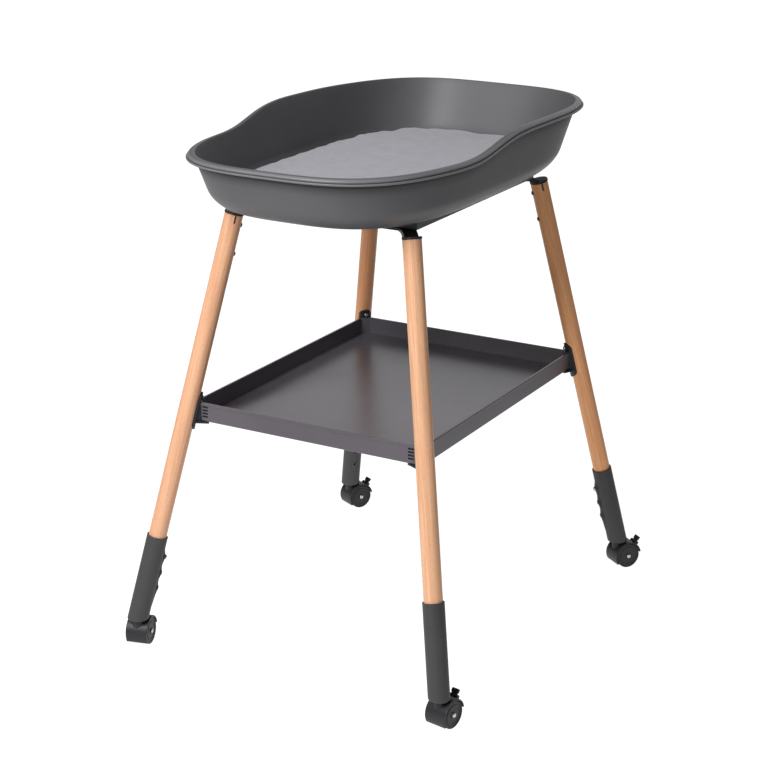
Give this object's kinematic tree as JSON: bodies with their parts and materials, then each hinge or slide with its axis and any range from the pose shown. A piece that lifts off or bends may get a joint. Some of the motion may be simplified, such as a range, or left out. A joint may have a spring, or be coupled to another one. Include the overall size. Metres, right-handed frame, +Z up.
{
  "type": "changing table",
  "caption": "Changing table: moulded tub with a padded mat on splayed round wooden legs, with a lower storage tray, height-adjusting foot sleeves and braked swivel casters.",
  "frame": {"origin": "on the floor under the middle of the table's bounding box", "axes": "+Z up, +Y to the raised head end, +X to the right seen from the low foot end"},
  "size_m": [0.7008, 0.8752, 0.959],
  "materials": {
    "tub_plastic": "fine satin grain",
    "pad_fabric": "heather grey weave",
    "beech": "satin lacquered beech",
    "black_plastic": "satin black",
    "tray_plastic": "smooth satin",
    "sleeve_plastic": "fine matte grain",
    "wheel_plastic": "matte black",
    "axle_steel": "zinc plated",
    "dark_screw": "blackened",
    "bright_screw": "zinc plated",
    "insert_brass": "turned"
  },
  "bodies": {
    "table": {"tub_shell": "tub_plastic", "tray": "tray_plastic", "leg_inserts": "insert_brass", "leg_screws": "dark_screw", "socket_screws": "dark_screw", "tray_bracket_screws": "bright_screw", "leg_front_left": "beech", "leg_socket_front_left": "black_plastic", "tray_bracket_front_left": "black_plastic", "leg_front_right": "beech", "leg_socket_front_right": "black_plastic", "tray_bracket_front_right": "black_plastic", "leg_back_right": "beech", "leg_socket_back_right": "black_plastic", "tray_bracket_back_right": "black_plastic", "leg_back_left": "beech", "leg_socket_back_left": "black_plastic", "tray_bracket_back_left": "black_plastic"},
    "pad": {"changing_pad": "pad_fabric"},
    "sleeve_front_left": {"foot_sleeve_front_left": "sleeve_plastic", "sleeve_screw_front_left": "bright_screw"},
    "caster_front_left": {"caster_hood_front_left": "black_plastic", "caster_stem_front_left": "axle_steel", "caster_axle_front_left": "axle_steel"},
    "wheel_outer_front_left": {"caster_wheel_outer_front_left": "wheel_plastic"},
    "wheel_inner_front_left": {"caster_wheel_inner_front_left": "wheel_plastic"},
    "sleeve_front_right": {"foot_sleeve_front_right": "sleeve_plastic", "sleeve_screw_front_right": "bright_screw"},
    "caster_front_right": {"caster_hood_front_right": "black_plastic", "caster_stem_front_right": "axle_steel", "caster_axle_front_right": "axle_steel"},
    "wheel_outer_front_right": {"caster_wheel_outer_front_right": "wheel_plastic"},
    "wheel_inner_front_right": {"caster_wheel_inner_front_right": "wheel_plastic"},
    "brake_front_right": {"brake_lever_front_right": "black_plastic"},
    "sleeve_back_right": {"foot_sleeve_back_right": "sleeve_plastic", "sleeve_screw_back_right": "bright_screw"},
    "caster_back_right": {"caster_hood_back_right": "black_plastic", "caster_stem_back_right": "axle_steel", "caster_axle_back_right": "axle_steel"},
    "wheel_outer_back_right": {"caster_wheel_outer_back_right": "wheel_plastic"},
    "wheel_inner_back_right": {"caster_wheel_inner_back_right": "wheel_plastic"},
    "brake_back_right": {"brake_lever_back_right": "black_plastic"},
    "sleeve_back_left": {"foot_sleeve_back_left": "sleeve_plastic", "sleeve_screw_back_left": "bright_screw"},
    "caster_back_left": {"caster_hood_back_left": "black_plastic", "caster_stem_back_left": "axle_steel", "caster_axle_back_left": "axle_steel"},
    "wheel_outer_back_left": {"caster_wheel_outer_back_left": "wheel_plastic"},
    "wheel_inner_back_left": {"caster_wheel_inner_back_left": "wheel_plastic"},
    "brake_back_left": {"brake_lever_back_left": "black_plastic"}
  },
  "joints": [
    {"name": "pad_lift", "type": "slide", "parent": "table", "child": "pad", "axis": [0, 0, 1], "range_m": [0, 0.25]},
    {"name": "sleeve_slide_front_left", "type": "slide", "parent": "table", "child": "sleeve_front_left", "axis": [0.176, 0.1793, 0.9679], "range_m": [0, 0.06]},
    {"name": "caster_swivel_front_left", "type": "hinge", "parent": "sleeve_front_left", "child": "caster_front_left", "pos_m": [-0.31917, -0.39401, 0.055], "axis": [0, 0, 1], "continuous": true},
    {"name": "wheel_spin_outer_front_left", "type": "hinge", "parent": "caster_front_left", "child": "wheel_outer_front_left", "pos_m": [-0.31114, -0.37529, 0.025], "axis": [0.9659, 0.2588, 0], "continuous": true},
    {"name": "wheel_spin_inner_front_left", "type": "hinge", "parent": "caster_front_left", "child": "wheel_inner_front_left", "pos_m": [-0.33548, -0.38182, 0.025], "axis": [0.9659, 0.2588, 0], "continuous": true},
    {"name": "sleeve_slide_front_right", "type": "slide", "parent": "table", "child": "sleeve_front_right", "axis": [-0.176, 0.1793, 0.9679], "range_m": [0, 0.06]},
    {"name": "caster_swivel_front_right", "type": "hinge", "parent": "sleeve_front_right", "child": "caster_front_right", "pos_m": [0.30803, -0.39401, 0.055], "axis": [0, 0, 1], "continuous": true},
    {"name": "wheel_spin_outer_front_right", "type": "hinge", "parent": "caster_front_right", "child": "wheel_outer_front_right", "pos_m": [0.32322, -0.38044, 0.025], "axis": [0.9848, -0.1736, 0], "continuous": true},
    {"name": "wheel_spin_inner_front_right", "type": "hinge", "parent": "caster_front_right", "child": "wheel_inner_front_right", "pos_m": [0.2984, -0.37607, 0.025], "axis": [0.9848, -0.1736, 0], "continuous": true},
    {"name": "brake_press_front_right", "type": "hinge", "parent": "caster_front_right", "child": "brake_front_right", "pos_m": [0.31511, -0.35389, 0.04576], "axis": [-0.9848, 0.1736, 0], "range_deg": [0, 35]},
    {"name": "sleeve_slide_back_right", "type": "slide", "parent": "table", "child": "sleeve_back_right", "axis": [-0.176, -0.1793, 0.9679], "range_m": [0, 0.06]},
    {"name": "caster_swivel_back_right", "type": "hinge", "parent": "sleeve_back_right", "child": "caster_back_right", "pos_m": [0.30803, 0.38559, 0.055], "axis": [0, 0, 1], "continuous": true},
    {"name": "wheel_spin_outer_back_right", "type": "hinge", "parent": "caster_back_right", "child": "wheel_outer_back_right", "pos_m": [0.32763, 0.39113, 0.025], "axis": [0.809, -0.5878, 0], "continuous": true},
    {"name": "wheel_spin_inner_back_right", "type": "hinge", "parent": "caster_back_right", "child": "wheel_inner_back_right", "pos_m": [0.30724, 0.40594, 0.025], "axis": [0.809, -0.5878, 0], "continuous": true},
    {"name": "brake_press_back_right", "type": "hinge", "parent": "caster_back_right", "child": "brake_back_right", "pos_m": [0.33198, 0.41855, 0.04576], "axis": [-0.809, 0.5878, 0], "range_deg": [0, 35]},
    {"name": "sleeve_slide_back_left", "type": "slide", "parent": "table", "child": "sleeve_back_left", "axis": [0.176, -0.1793, 0.9679], "range_m": [0, 0.06]},
    {"name": "caster_swivel_back_left", "type": "hinge", "parent": "sleeve_back_left", "child": "caster_back_left", "pos_m": [-0.31917, 0.38559, 0.055], "axis": [0, 0, 1], "continuous": true},
    {"name": "wheel_spin_outer_back_left", "type": "hinge", "parent": "caster_back_left", "child": "wheel_outer_back_left", "pos_m": [-0.30068, 0.39413, 0.025], "axis": [0.891, -0.454, 0], "continuous": true},
    {"name": "wheel_spin_inner_back_left", "type": "hinge", "parent": "caster_back_left", "child": "wheel_inner_back_left", "pos_m": [-0.32313, 0.40557, 0.025], "axis": [0.891, -0.454, 0], "continuous": true},
    {"name": "brake_press_back_left", "type": "hinge", "parent": "caster_back_left", "child": "brake_back_left", "pos_m": [-0.30067, 0.42189, 0.04576], "axis": [-0.891, 0.454, 0], "range_deg": [0, 35]}
  ]
}
